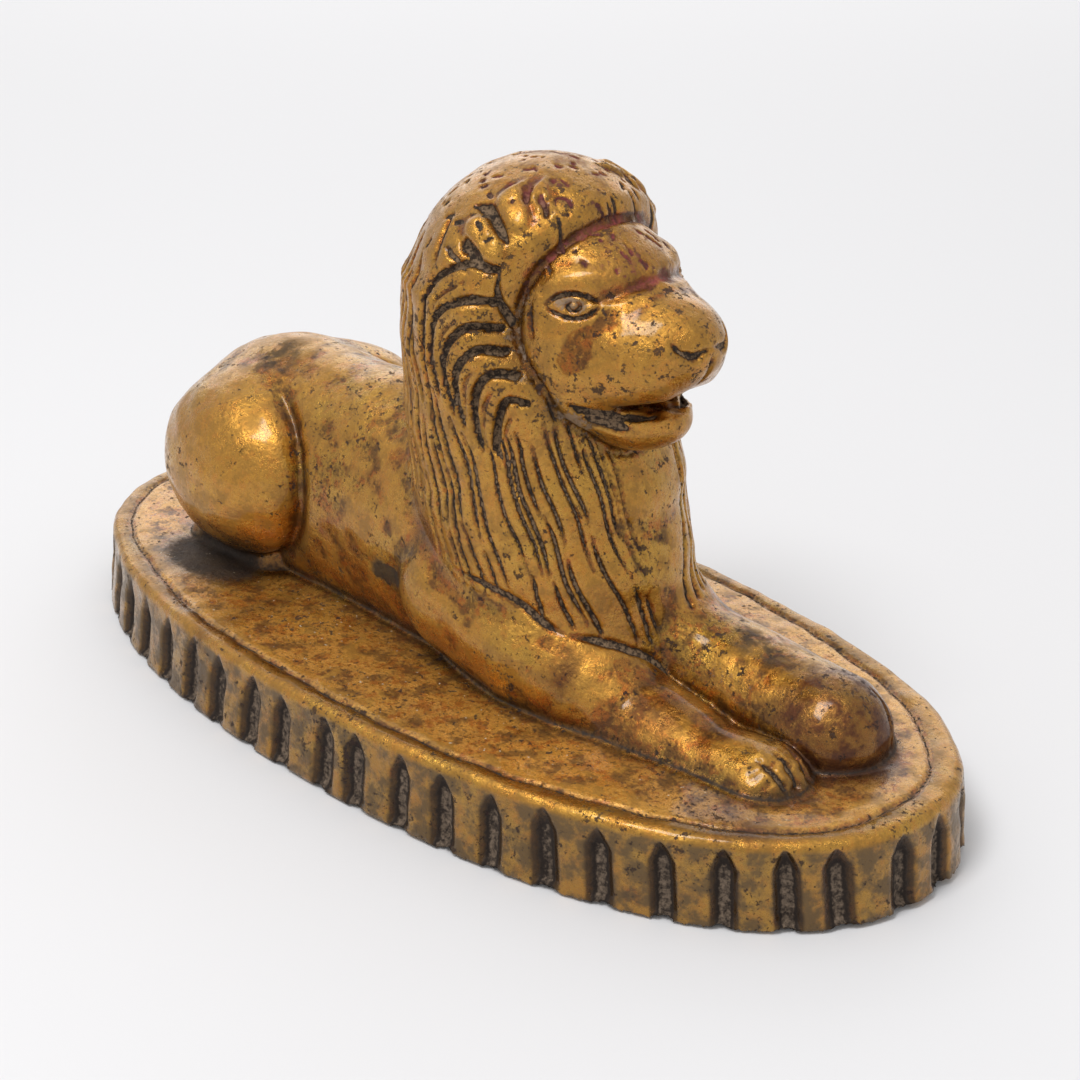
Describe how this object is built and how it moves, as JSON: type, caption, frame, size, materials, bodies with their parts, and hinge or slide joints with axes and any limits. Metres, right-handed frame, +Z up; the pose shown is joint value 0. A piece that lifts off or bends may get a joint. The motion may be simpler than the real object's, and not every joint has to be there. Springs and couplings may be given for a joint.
{
  "type": "lion figurine",
  "caption": "Cast brass figurine of a lion lying with its head raised, on an oval plinth with a notched edge.",
  "frame": {"origin": "middle of the plinth's flat underside", "axes": "+X along the plinth towards the lion's nose, +Y across it to the lion's left, +Z up"},
  "size_m": [0.116, 0.0544, 0.0613],
  "materials": {
    "brass": "aged cast brass, dark in the cuts and rubbed bright on the high places"
  },
  "bodies": {
    "root": {"lion_and_plinth": "brass"}
  },
  "joints": []
}
